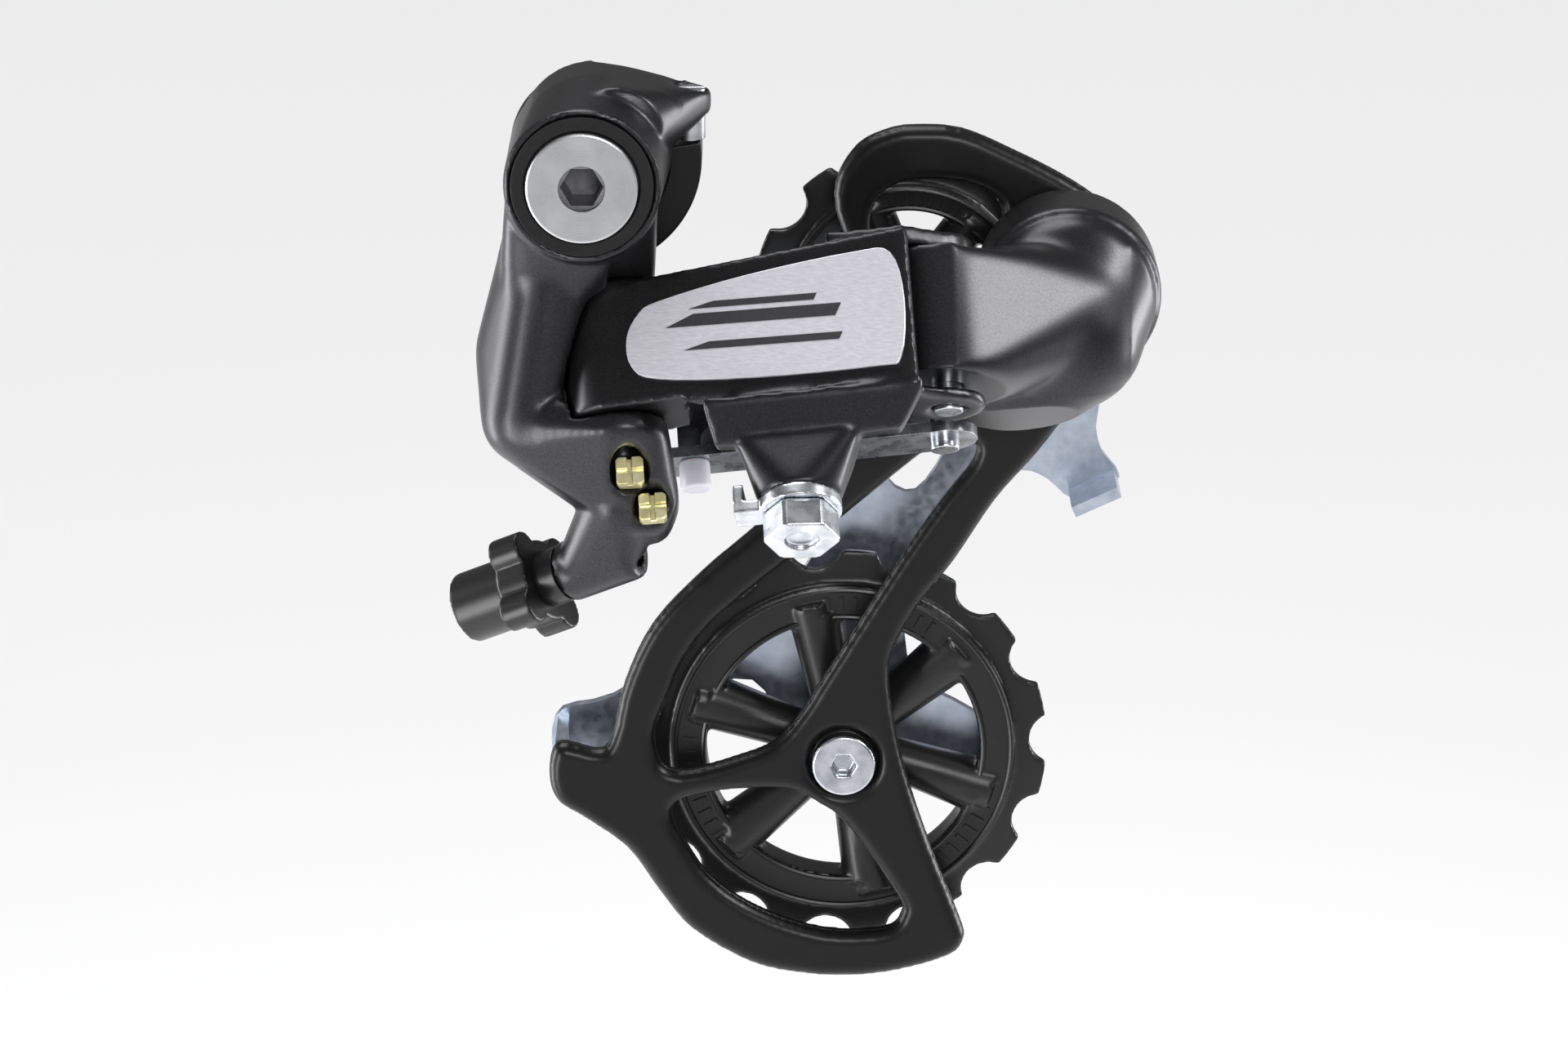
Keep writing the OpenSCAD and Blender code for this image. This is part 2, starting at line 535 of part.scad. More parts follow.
module outer_cage_plate() color([0.1, 0.1, 0.1]) pivot() difference() {
  union() {
    yplate(plate_out, plate_in) difference() {
      polygon(smooth(concat(upper_rim, near_tension(lower_rim), hub_rim), 4));
      // Window over the guide pulley
      polygon(smooth([[-26.4, 5], [-26.7, 8.7], [-24.8, 11.6], [-20.9, 13.1], [-14.2, 12.8], [-9.8, 10.8], [-8.8, 8.2],
        [-9.8, 5], [-13, 2.6], [-23, 2.4]], 4));
      // Window between the arms
      polygon(smooth(concat([[-12.4, -24.4], [-17.1, -24.4]], near_tension([[-2, 35], [-17.2, 22.1], [-22.5, 15.3],
        [-24.8, 9.6], [-26.7, 4.7], [-26.2, 0.3], [-24.4, -1.4], [-21.3, -1.4], [-15.5, 0.3], [-9.7, 2.8], [-5.7, 7.7],
        [-2.8, 12.6], [7.4, 29.6]]), [[-16.6, -33], [-12.4, -27.4]]), 4));
      // Window below the tension pulley's bolt
      polygon(smooth(near_tension([[-23.4, -6], [-17.8, -4.6], [-8.5, -4.2], [-3.3, -6.6], [0.7, -10], [7.8, -20.6],
        [8.4, -23.4], [6.1, -25.8], [-2.7, -26], [-12, -22.8], [-19, -17.8], [-23, -11.5], [-24.4, -8.4]]), 4));
    }
    for (c = [guide_at, tension_at]) translate([c[0], 0, c[1]]) ycyl(6.4, plate_out, plate_in);
  }
  for (c = [guide_at, tension_at]) translate([c[0], 0, c[1]]) {
    ycyl(pulley_bolt_d / 2 + run_gap, 0, 15);
    ycyl(pulley_head_d / 2 + 0.3, 0, plate_out + head_recess);
  }
  ycyl(cage_axle_d / 2, 0, 15);
  rotate([0, -stop_pin_a, 0]) translate([stop_pin_r, 0, 0]) ycyl(1.6, 0, plate_out + 1.5);
}
module inner_cage_plate() color([0.72, 0.75, 0.8]) pivot() difference() {
  union() {
    yplate(inner_out, inner_in) difference() {
      polygon(smooth(concat([[-29, -8], [-27, -2.2], [-21.5, 0.6], [-16, -2.2], [-9.5, -9], [-1, -16], [5.4, -21.5],
        [5.5, -26.3], [6.4, -30], [9, -33.8], [5.8, -35.6], [2.2, -37], [-1.4, -34], [-5, -32.8], [-11, -34.5]],
        near_tension([[12.5, 28], [9, 18], [10.5, 8], [19, 2.5], [23, -3], [15, -6], [7, -8], [0, -9.4], [-7, -6.4],
        [-9, 0.5], [-13, 7.5], [-22, 5.5], [-31, -1], [-35, -7], [-40.6, -6.4], [-42, -1.5], [-40.4, 3], [-33, 5],
        [-22, 12.5], [-12, 18], [-4, 27]]), [[-31, -26], [-29.6, -15]]), 3));
      polygon(smooth([[-24, -18], [-17, -18], [-15, -27], [-20, -36], [-25, -32]], 4));
    }
    for (c = [guide_at, tension_at]) translate([c[0], 0, c[1]]) ycyl(4.4, inner_out + 0.2, inner_in + 0.5);
    // Tab bent outboard behind the outer plate's tab
    translate([tension_at[0] - 41, plate_in + 1.2, tension_at[1] - 4.6])
      cube([inner_plate_t, cage_gap - 0.8, 6.6]);
    // Tab bent outboard at the end of the lower finger
    translate([2.4, plate_in + 2.6, -37]) rotate([0, -25, 0]) cube([7, cage_gap - 2, inner_plate_t]);
  }
  for (c = [guide_at, tension_at]) translate([c[0], 0, c[1]]) ycyl(pulley_bolt_d / 2, 0, 30);
}

module guide_pulley() color([0.1, 0.1, 0.1]) at_guide() pulley(guide_teeth, 21.5, 13, 16.6, 2.9, 28.3, 52);
module guide_bush() color("gray") at_guide() pulley_bush_at();
module guide_cap_outer() color("silver") at_guide() dust_cap(plate_in, plate_in + cap_t);
module guide_cap_inner() color("silver") at_guide() dust_cap(inner_out - cap_t, inner_out);
module guide_bolt() color("silver") at_guide() pulley_bolt();
module tension_pulley() color([0.1, 0.1, 0.1]) at_tension() pulley(tension_teeth, 29.2, 19.5, 24.5, 3.6, 13.5, 40);
module tension_bush() color("gray") at_tension() pulley_bush_at();
module tension_cap_outer() color("silver") at_tension() dust_cap(plate_in, plate_in + cap_t);
module tension_cap_inner() color("silver") at_tension() dust_cap(inner_out - cap_t, inner_out);
module tension_bolt() color("silver") at_tension() pulley_bolt();

mounting_bolt();
stop_plate();
bolt_retaining_ring();
bolt_seal_ring();
b_knuckle();
b_bush();
b_spring();
b_tension_screw();
limit_screw_high();
limit_screw_low();
barrel_adjuster();
cable_adjusting_bolt();
adjuster_spring();
adjuster_collar();
pin_a();
outer_link();
name_plate();
pin_c();
cable_clamp_washer();
cable_clamp_bolt();
inner_link();
pin_b();
pin_d();
limit_stop_pad();
link_return_spring();
p_knuckle();
p_spring();
p_axle();
p_seal_washer();
cage_stop_pin();
outer_cage_plate();
inner_cage_plate();
guide_pulley();
guide_bush();
guide_cap_outer();
guide_cap_inner();
guide_bolt();
tension_pulley();
tension_bush();
tension_cap_outer();
tension_cap_inner();
tension_bolt();
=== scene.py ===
import math
import bmesh
import bpy
from mathutils import Matrix, Vector
from mathutils.kdtree import KDTree


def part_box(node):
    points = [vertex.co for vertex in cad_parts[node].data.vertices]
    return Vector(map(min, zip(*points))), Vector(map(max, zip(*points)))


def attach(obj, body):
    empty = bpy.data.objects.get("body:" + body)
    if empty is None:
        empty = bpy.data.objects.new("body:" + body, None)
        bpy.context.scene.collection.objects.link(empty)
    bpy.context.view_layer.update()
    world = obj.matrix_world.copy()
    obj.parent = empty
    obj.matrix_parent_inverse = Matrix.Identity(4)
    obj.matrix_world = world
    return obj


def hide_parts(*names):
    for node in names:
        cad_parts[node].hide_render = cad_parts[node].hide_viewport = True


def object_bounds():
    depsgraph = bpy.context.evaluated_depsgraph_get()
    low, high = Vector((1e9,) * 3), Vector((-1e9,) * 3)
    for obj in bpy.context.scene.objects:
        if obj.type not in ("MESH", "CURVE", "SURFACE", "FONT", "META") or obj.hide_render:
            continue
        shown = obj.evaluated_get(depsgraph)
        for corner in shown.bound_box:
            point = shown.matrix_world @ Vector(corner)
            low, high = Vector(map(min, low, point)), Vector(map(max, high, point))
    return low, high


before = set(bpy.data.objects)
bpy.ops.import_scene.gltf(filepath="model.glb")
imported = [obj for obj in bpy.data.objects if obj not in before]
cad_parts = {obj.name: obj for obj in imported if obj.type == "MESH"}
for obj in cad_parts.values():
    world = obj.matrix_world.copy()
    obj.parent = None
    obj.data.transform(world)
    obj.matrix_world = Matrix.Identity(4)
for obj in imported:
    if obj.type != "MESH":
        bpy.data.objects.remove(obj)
cad_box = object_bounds()

# Camera, on the outboard side of the wheel and a little above the derailleur.
# A long lens, as for a catalogue picture, keeps the cage's plates almost parallel.
MM = 0.001
camera = bpy.data.objects.new("camera", bpy.data.cameras.new("camera"))
bpy.context.collection.objects.link(camera)
camera.data.lens = 120
camera.data.sensor_width = 36
camera.location = Vector((26.47, -685.52, 175.43)) * MM
camera.rotation_euler = (math.radians(90 - 18.5), 0, 0)
bpy.context.scene.camera = camera
bpy.context.scene.view_settings.view_transform = "Standard"


# Studio: a pale card floor under the part, an even sky, a soft sun and five soft boxes.
# The boxes stand left, right and in front, and draw the long highlights on the paint.
def linear(text):
    """Linear colour of an sRGB hex value such as 'C8CACC'."""
    parts = [int(text[i:i + 2], 16) / 255 for i in (0, 2, 4)]
    return tuple(p / 12.92 if p <= 0.04045 else ((p + 0.055) / 1.055) ** 2.4 for p in parts) + (1,)


def add(tree, kind, settings=None, links=None):
    """Adds a node: settings are its own properties or sockets' values, links feed its sockets."""
    made = tree.nodes.new(kind)
    for key, value in (settings or {}).items():
        if isinstance(key, str) and hasattr(made, key):
            setattr(made, key, value)
        else:
            made.inputs[key].default_value = value
    for key, source in (links or {}).items():
        tree.links.new(source, made.inputs[key])
    return made


def new_material(name):
    """An empty material with its output node, and the tree to build it in."""
    made = bpy.data.materials.new(name)
    made.use_nodes = True
    made.node_tree.nodes.clear()
    return made, made.node_tree


def new_object(name, bm):
    """The bmesh as an object at the origin."""
    mesh = bpy.data.meshes.new(name)
    bm.to_mesh(mesh)
    bm.free()
    made = bpy.data.objects.new(name, mesh)
    bpy.context.collection.objects.link(made)
    return made


card_material, tree = new_material("matt_white_card")
card = add(tree, "ShaderNodeBsdfPrincipled", {"Base Color": linear("F1F1F2"), "Roughness": 0.9})
add(tree, "ShaderNodeOutputMaterial", links={"Surface": card.outputs[0]})
floor_drop = 500
bm = bmesh.new()
bmesh.ops.create_grid(bm, x_segments=4, y_segments=4, size=6)
bmesh.ops.translate(bm, vec=(0, 0, cad_box[0].z - floor_drop * MM), verts=bm.verts)
floor = new_object("floor", bm)
floor.data.materials.append(card_material)

world = bpy.data.worlds.new("even_sky")
bpy.context.scene.world = world
world.use_nodes = True
world.node_tree.nodes["Background"].inputs["Color"].default_value = linear("FFFFFF")
world.node_tree.nodes["Background"].inputs["Strength"].default_value = 0.2

overhead = bpy.data.lights.new("overhead", "SUN")
overhead.energy = 2.5
overhead.angle = math.radians(40)
sun = bpy.data.objects.new("overhead", overhead)
bpy.context.collection.objects.link(sun)
sun.rotation_euler = (math.radians(-16), math.radians(-12), 0)

# Each box has its place from the part's middle, width and height in metres, and power in watts.
# The left ones light the upper knuckle, the high right one the dome, and the right one its rim.
middle = (cad_box[0] + cad_box[1]) / 2
for name, place, width, height, power in (
        ("left_box", (-0.80, 0.14, -0.12), 0.26, 0.80, 9.0),
        ("near_left_box", (-0.58, -0.50, -0.18), 0.12, 0.50, 4.5),
        ("front_box", (0.12, -0.72, 0.34), 0.24, 0.20, 3.0),
        ("high_right_box", (0.66, -0.17, 0.54), 0.18, 0.18, 5.0),
        ("right_box", (0.80, 0.28, -0.06), 0.12, 0.50, 6.0)):
    lamp = bpy.data.lights.new(name, "AREA")
    lamp.shape = "RECTANGLE"
    lamp.size = width
    lamp.size_y = height
    lamp.energy = power
    box = bpy.data.objects.new(name, lamp)
    bpy.context.collection.objects.link(box)
    box.location = middle + Vector(place)
    box.rotation_euler = (-Vector(place)).to_track_quat("-Z", "Y").to_euler()


# Hanger bolt: the big steel bolt that screws into the frame's hanger. It is turned from bar,
# with a hex socket, and its face shows the lathe's fine rings. A snap ring behind keeps it in.
def cad_mesh(*nodes):
    """A bmesh of CAD nodes, merged, with the flat faces' triangles joined again."""
    bm = bmesh.new()
    for node in nodes:
        bm.from_mesh(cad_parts[node].data)
    bmesh.ops.remove_doubles(bm, verts=bm.verts, dist=0.001 * MM)
    bmesh.ops.dissolve_limit(bm, angle_limit=math.radians(0.4), verts=bm.verts, edges=bm.edges)
    return bm


def break_edges(bm, width, sharper=32, segments=2, chosen=None):
    """Bevels the sharp edges, as a tumbled or moulded part's are. chosen keeps to some edges."""
    sharp = [e for e in bm.edges if len(e.link_faces) == 2
             and e.calc_face_angle(0) > math.radians(sharper) and (chosen is None or chosen(e))]
    bmesh.ops.bevel(bm, geom=sharp, offset=width * MM, offset_type="OFFSET", affect="EDGES",
                    segments=segments, profile=0.5, material=-1, clamp_overlap=True)


def show(name, bm, body, slot, material, *nodes):
    """Makes the piece, smooth but for its sharp edges, and ties it to its body and CAD nodes."""
    for face in bm.faces:
        face.smooth = True
    for edge in bm.edges:
        edge.smooth = len(edge.link_faces) == 2 and edge.calc_face_angle(0) < math.radians(34)
    made = new_object(name, bm)
    made.data.materials.append(material)
    weighted = made.modifiers.new("even_shading", "WEIGHTED_NORMAL")
    weighted.keep_sharp = True
    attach(made, body)
    if nodes:
        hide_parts(*nodes)
    return made


def centre(node):
    """Middle of a CAD node's box, which lies on a round part's axis."""
    low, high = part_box(node)
    return (low + high) / 2


def every(size):
    """Scale of a pattern whose marks lie size mm apart."""
    return 1 / (size * MM)


# Turned steel, bright and a little satin: rings about 0.35 mm apart round the bolt's axis.
# A ring texture has 20 / tau rings to a unit at a scale of 1.
turned_steel, tree = new_material("turned_steel")
where = add(tree, "ShaderNodeTexCoord")
rings = add(tree, "ShaderNodeTexWave",
            {"wave_type": "RINGS", "rings_direction": "Y", "Scale": every(0.349) * math.tau / 20,
             "Distortion": 0.6, "Detail": 2, "Detail Scale": 3},
            {"Vector": where.outputs["Object"]})
streaks = add(tree, "ShaderNodeTexNoise", {"Scale": every(3.85), "Detail": 3},
              {"Vector": where.outputs["Object"]})
shade = add(tree, "ShaderNodeMapRange", {"From Min": 0.3, "From Max": 0.7, "To Min": 0.24, "To Max": 0.38},
            {"Value": streaks.outputs[0]})
bump = add(tree, "ShaderNodeBump", {"Strength": 0.25, "Distance": 0.02 * MM},
           {"Height": rings.outputs["Fac"]})
metal = add(tree, "ShaderNodeBsdfPrincipled", {"Base Color": linear("B4B5B6"), "Metallic": 1},
            {"Roughness": shade.outputs[0], "Normal": bump.outputs[0]})
add(tree, "ShaderNodeOutputMaterial", links={"Surface": metal.outputs[0]})

# Painted shade: the socket's faces take a darker, rougher steel colour that stands in for the shade inside
# the hex recess.
socket_shade, tree = new_material("painted_socket_shade")
where = add(tree, "ShaderNodeTexCoord")
cloud = add(tree, "ShaderNodeTexNoise", {"Scale": every(1.25), "Detail": 3},
            {"Vector": where.outputs["Object"]})
tone = add(tree, "ShaderNodeValToRGB", links={"Fac": cloud.outputs[0]})
tone.color_ramp.elements[0].color = linear("5A5A5C")
tone.color_ramp.elements[1].color = linear("8C8C8E")
metal = add(tree, "ShaderNodeBsdfPrincipled", {"Metallic": 0.8, "Roughness": 0.5},
            {"Base Color": tone.outputs[0]})
add(tree, "ShaderNodeOutputMaterial", links={"Surface": metal.outputs[0]})

head_rim_r = 7.3
socket_r = 3.15
socket_depth = 9
bm = cad_mesh("mounting_bolt")
break_edges(bm, width=0.55, chosen=lambda e: max(v.co.xz.length for v in e.verts) > head_rim_r * MM)
break_edges(bm, width=0.12)
head_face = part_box("mounting_bolt")[0].y
# Faces inside the socket, past its mouth, get the painted socket shade as their second material.
for face in bm.faces:
    inside = max(v.co.xz.length for v in face.verts) < socket_r * MM
    depth = (face.calc_center_median().y - head_face) / MM
    face.material_index = int(inside and 0.2 < depth < socket_depth)
bolt = show("hanger_bolt", bm, "hanger_side", "polished_steel", turned_steel, "mounting_bolt")
# The second material is the painted shade of the socket.
bolt.data.materials.append(socket_shade)

# Snap ring and springs: wound from steel wire, then hardened and quenched in oil.
# Each rides with one side of its joint. The oil leaves the steel dark and a little stained.
spring_steel, tree = new_material("oiled_spring_steel")
where = add(tree, "ShaderNodeTexCoord")
stain = add(tree, "ShaderNodeTexNoise", {"Scale": every(1.43), "Detail": 4},
            {"Vector": where.outputs["Object"]})
tone = add(tree, "ShaderNodeValToRGB", links={"Fac": stain.outputs[0]})
tone.color_ramp.elements[0].color = linear("6C6D70")
tone.color_ramp.elements[1].color = linear("94969A")
metal = add(tree, "ShaderNodeBsdfPrincipled", {"Metallic": 1, "Roughness": 0.36},
            {"Base Color": tone.outputs[0]})
add(tree, "ShaderNodeOutputMaterial", links={"Surface": metal.outputs[0]})
for node, body in (("bolt_retaining_ring", "hanger_side"), ("b_spring", "upper_knuckle"),
                   ("adjuster_spring", "upper_knuckle"), ("link_return_spring", "lower_knuckle"),
                   ("p_spring", "lower_knuckle")):
    bm = cad_mesh(node)
    show("wound_" + node, bm, body, "spring_steel", spring_steel, node)

# Seal ring: a moulded rubber ring pressed in round the bolt's head, which keeps grit out.
# Rubber is black and matt, with the faint bloom that it gets in store.
seal_rubber, tree = new_material("moulded_rubber")
where = add(tree, "ShaderNodeTexCoord")
bloom = add(tree, "ShaderNodeTexNoise", {"Scale": every(1.11), "Detail": 5},
            {"Vector": where.outputs["Object"]})
tone = add(tree, "ShaderNodeValToRGB", links={"Fac": bloom.outputs[0]})
tone.color_ramp.elements[0].color = linear("0B0B0C")
tone.color_ramp.elements[1].color = linear("19191A")
rubber = add(tree, "ShaderNodeBsdfPrincipled", {"Roughness": 0.7, "Specular IOR Level": 0.2},
             {"Base Color": tone.outputs[0]})
add(tree, "ShaderNodeOutputMaterial", links={"Surface": rubber.outputs[0]})
bm = cad_mesh("bolt_seal_ring")
break_edges(bm, width=0.3)
show("bolt_seal", bm, "upper_knuckle", "black_nylon", seal_rubber, "bolt_seal_ring")

# The cage's seal rides the lower knuckle here, though the model's body for it is the cage.
# The axle therefore turns in it, and its bore is opened for that. The model's bore is tight.
seal_play = 0.25
bm = cad_mesh("p_seal_washer")
break_edges(bm, width=0.3)
hub = centre("p_seal_washer")
reaches = [(v.co - hub).xz.length for v in bm.verts]
half_way = (max(reaches) + min(reaches)) / 2
for vert in bm.verts:
    outwards = vert.co - hub
    outwards.y = 0
    if outwards.length < half_way:
        vert.co += outwards.normalized() * seal_play * MM
show("cage_seal", bm, "lower_knuckle", "black_nylon", seal_rubber, "p_seal_washer")

# Stop plate: a pressed steel plate on the bolt, painted black, whose lobe is bent forward.
# The B-tension screw bears on the lobe. The paint is thin and satin, as on the cage.
black_paint, tree = new_material("black_satin_paint")
where = add(tree, "ShaderNodeTexCoord")
peel = add(tree, "ShaderNodeTexNoise", {"Scale": every(0.714), "Detail": 3, "Roughness": 0.6},
           {"Vector": where.outputs["Object"]})
cloud = add(tree, "ShaderNodeTexNoise", {"Scale": every(11.1), "Detail": 3},
            {"Vector": where.outputs["Object"]})
tone = add(tree, "ShaderNodeValToRGB", links={"Fac": cloud.outputs[0]})
tone.color_ramp.elements[0].color = linear("0B0B0C")
tone.color_ramp.elements[1].color = linear("101011")
bump = add(tree, "ShaderNodeBump", {"Strength": 0.15, "Distance": 0.02 * MM}, {"Height": peel.outputs[0]})
paint = add(tree, "ShaderNodeBsdfPrincipled",
            {"Roughness": 0.36, "Specular IOR Level": 0.2, "Coat Weight": 0.06, "Coat Roughness": 0.25},
            {"Base Color": tone.outputs[0], "Normal": bump.outputs[0]})
add(tree, "ShaderNodeOutputMaterial", links={"Surface": paint.outputs[0]})
bm = cad_mesh("stop_plate")
break_edges(bm, width=0.35)
show("stop_lobe_plate", bm, "hanger_side", "black_paint", black_paint, "stop_plate")


# Upper knuckle: die-cast aluminium, tumbled and sprayed with a charcoal metallic paint.
# The casting has generous fillets, so it is fused and rounded as one skin.
def fused(bm, voxel, passes):
    """Fuses overlapping solids into one skin of voxel mm, and rounds its edges and corners."""
    draft = new_object("draft", bm)
    skin = draft.modifiers.new("skin", "REMESH")
    skin.mode = "VOXEL"
    skin.voxel_size = voxel * MM
    rounding = draft.modifiers.new("rounding", "SMOOTH")
    rounding.factor = 0.5
    rounding.iterations = passes
    shape = draft.evaluated_get(bpy.context.evaluated_depsgraph_get())
    made = bmesh.new()
    made.from_mesh(shape.to_mesh())
    bpy.data.objects.remove(draft)
    return made


def soften(bm, low, high, passes):
    """Blends the skin further where it lies between two corners in mm, as a deeper fillet would."""
    chosen = [v for v in bm.verts if all(low[i] * MM < v.co[i] < high[i] * MM for i in range(3))]
    for _ in range(passes):
        bmesh.ops.smooth_vert(bm, verts=chosen, factor=0.5,
                              use_axis_x=True, use_axis_y=True, use_axis_z=True)


def metallic_paint(name, dark, light, roughness):
    """Sprayed paint with fine aluminium flake under a satin lacquer."""
    made, tree = new_material(name)
    where = add(tree, "ShaderNodeTexCoord")
    flake = add(tree, "ShaderNodeTexNoise", {"Scale": every(0.238), "Detail": 0},
                {"Vector": where.outputs["Object"]})
    cloud = add(tree, "ShaderNodeTexNoise", {"Scale": every(9.09), "Detail": 3},
                {"Vector": where.outputs["Object"]})
    mixed = add(tree, "ShaderNodeMix", {"data_type": "FLOAT", "Factor": 0.3},
                {"A": flake.outputs[0], "B": cloud.outputs[0]})
    tone = add(tree, "ShaderNodeValToRGB", links={"Fac": mixed.outputs[0]})
    tone.color_ramp.elements[0].position = 0.2
    tone.color_ramp.elements[0].color = linear(dark)
    tone.color_ramp.elements[1].position = 0.85
    tone.color_ramp.elements[1].color = linear(light)
    bump = add(tree, "ShaderNodeBump", {"Strength": 0.12, "Distance": 0.01 * MM},
               {"Height": flake.outputs[0]})
    paint = add(tree, "ShaderNodeBsdfPrincipled", {"Metallic": 0.85, "Roughness": roughness,
                                                   "Coat Weight": 0.15, "Coat Roughness": 0.25},
                {"Base Color": tone.outputs[0], "Normal": bump.outputs[0]})
    add(tree, "ShaderNodeOutputMaterial", links={"Surface": paint.outputs[0]})
    return made


charcoal_paint = metallic_paint("charcoal_metallic_paint", "222224", "353538", 0.38)
bm = fused(cad_mesh("b_knuckle"), voxel=0.42, passes=12)
# The crown blends into the screw's lip, and the neck into the shoulder.
soften(bm, low=(1, -13, 6.5), high=(13, 2, 14), passes=30)
soften(bm, low=(-20, -30, -40), high=(-6, 10, -12), passes=20)
show("upper_knuckle_casting", bm, "upper_knuckle", "satin_paint", charcoal_paint, "b_knuckle")

# Bushes: collars pressed and sintered from bronze powder, that the knuckle and the pulleys
# turn on. Their grain is open and holds oil, so the colour is brown and a little uneven.
bronze, tree = new_material("sintered_bronze")
where = add(tree, "ShaderNodeTexCoord")
grain = add(tree, "ShaderNodeTexNoise", {"Scale": every(0.4), "Detail": 3},
            {"Vector": where.outputs["Object"]})
tone = add(tree, "ShaderNodeValToRGB", links={"Fac": grain.outputs[0]})
tone.color_ramp.elements[0].color = linear("6E5230")
tone.color_ramp.elements[1].color = linear("A98555")
metal = add(tree, "ShaderNodeBsdfPrincipled", {"Metallic": 1, "Roughness": 0.45},
            {"Base Color": tone.outputs[0]})
add(tree, "ShaderNodeOutputMaterial", links={"Surface": metal.outputs[0]})
for node, body in (("b_bush", "upper_knuckle"), ("guide_bush", "cage"), ("tension_bush", "cage")):
    bm = cad_mesh(node)
    show("sintered_" + node, bm, body, "bronze", bronze, node)

# Screws and pins: cold-headed steel with a bright zinc plating, a little clouded.
# The limit screws have the yellow chromate finish instead, which is a pale, uneven straw.
# The pins are pressed into the castings and links, and the cage's axle and stop into its plate.
zinc_steel, tree = new_material("bright_zinc_plate")
where = add(tree, "ShaderNodeTexCoord")
cloud = add(tree, "ShaderNodeTexNoise", {"Scale": every(2.38), "Detail": 4},
            {"Vector": where.outputs["Object"]})
tone = add(tree, "ShaderNodeValToRGB", links={"Fac": cloud.outputs[0]})
tone.color_ramp.elements[0].position = 0.3
tone.color_ramp.elements[0].color = linear("9FA3A9")
tone.color_ramp.elements[1].position = 0.7
tone.color_ramp.elements[1].color = linear("C9CCD0")
shade = add(tree, "ShaderNodeMapRange", {"To Min": 0.2, "To Max": 0.36}, {"Value": cloud.outputs[0]})
metal = add(tree, "ShaderNodeBsdfPrincipled", {"Metallic": 1},
            {"Base Color": tone.outputs[0], "Roughness": shade.outputs[0]})
add(tree, "ShaderNodeOutputMaterial", links={"Surface": metal.outputs[0]})

yellow_zinc, tree = new_material("yellow_chromate_plate")
where = add(tree, "ShaderNodeTexCoord")
cloud = add(tree, "ShaderNodeTexNoise", {"Scale": every(1.67), "Detail": 3},
            {"Vector": where.outputs["Object"]})
tone = add(tree, "ShaderNodeValToRGB", links={"Fac": cloud.outputs[0]})
tone.color_ramp.elements[0].position = 0.3
tone.color_ramp.elements[0].color = linear("CFC68C")
tone.color_ramp.elements[1].position = 0.7
tone.color_ramp.elements[1].color = linear("EFE8BE")
metal = add(tree, "ShaderNodeBsdfPrincipled", {"Metallic": 0.7, "Roughness": 0.3},
            {"Base Color": tone.outputs[0]})
add(tree, "ShaderNodeOutputMaterial", links={"Surface": metal.outputs[0]})

for name, node, body, slot, finish in (
        ("tension_adjusting_screw", "b_tension_screw", "b_screw", "zinc_steel", zinc_steel),
        ("high_limit_screw", "limit_screw_high", "high_screw", "yellow_zinc", yellow_zinc),
        ("low_limit_screw", "limit_screw_low", "low_screw", "yellow_zinc", yellow_zinc),
        ("link_pin_a", "pin_a", "upper_knuckle", "zinc_steel", zinc_steel),
        ("link_pin_b", "pin_b", "inner_link", "zinc_steel", zinc_steel),
        ("link_pin_c", "pin_c", "outer_link", "zinc_steel", zinc_steel),
        ("link_pin_d", "pin_d", "inner_link", "zinc_steel", zinc_steel),
        ("cage_axle", "p_axle", "cage", "zinc_steel", zinc_steel),
        ("cage_stop", "cage_stop_pin", "cage", "zinc_steel", zinc_steel)):
    bm = cad_mesh(node)
    break_edges(bm, width=0.14 if "screw" in node else 0.35)
    show(name, bm, body, slot, finish, node)

# Barrel adjuster: a knob moulded in black nylon, turned by hand on the steel adjusting bolt.
# A light spring under the sleeve clicks it round. Moulded nylon has a soft sheen and no grain.
black_nylon, tree = new_material("moulded_black_nylon")
where = add(tree, "ShaderNodeTexCoord")
spark = add(tree, "ShaderNodeTexNoise", {"Scale": every(0.385), "Detail": 3},
            {"Vector": where.outputs["Object"]})
cloud = add(tree, "ShaderNodeTexNoise", {"Scale": every(6.25), "Detail": 2},
            {"Vector": where.outputs["Object"]})
tone = add(tree, "ShaderNodeValToRGB", links={"Fac": cloud.outputs[0]})
tone.color_ramp.elements[0].color = linear("0C0C0D")
tone.color_ramp.elements[1].color = linear("161617")
bump = add(tree, "ShaderNodeBump", {"Strength": 0.35, "Distance": 0.03 * MM}, {"Height": spark.outputs[0]})
nylon = add(tree, "ShaderNodeBsdfPrincipled", {"Roughness": 0.34, "Specular IOR Level": 0.35},
            {"Base Color": tone.outputs[0], "Normal": bump.outputs[0]})
add(tree, "ShaderNodeOutputMaterial", links={"Surface": nylon.outputs[0]})
bm = fused(cad_mesh("barrel_adjuster"), voxel=0.2, passes=8)
show("adjuster_knob", bm, "adjuster", "black_nylon", black_nylon, "barrel_adjuster")
bm = cad_mesh("adjuster_collar")
break_edges(bm, width=0.2)
show("adjuster_sleeve", bm, "upper_knuckle", "black_nylon", black_nylon, "adjuster_collar")
bm = cad_mesh("cable_adjusting_bolt")
break_edges(bm, width=0.15)
show("adjusting_bolt", bm, "adjuster", "zinc_steel", zinc_steel, "cable_adjusting_bolt")

# Outer link: a die-cast shell with the same paint in black, riveted on pins A and C.
# Its barrel turns in the upper knuckle's fork, and the tongue below carries the cable clamp.
link_paint = metallic_paint("black_metallic_paint", "1F1F21", "303032", 0.36)
bm = fused(cad_mesh("outer_link"), voxel=0.38, passes=14)
# The shell's lower lip blends into the tongue.
soften(bm, low=(14, -32, -38), high=(48, -12, -23.5), passes=30)
show("outer_link_shell", bm, "outer_link", "satin_paint", link_paint, "outer_link")

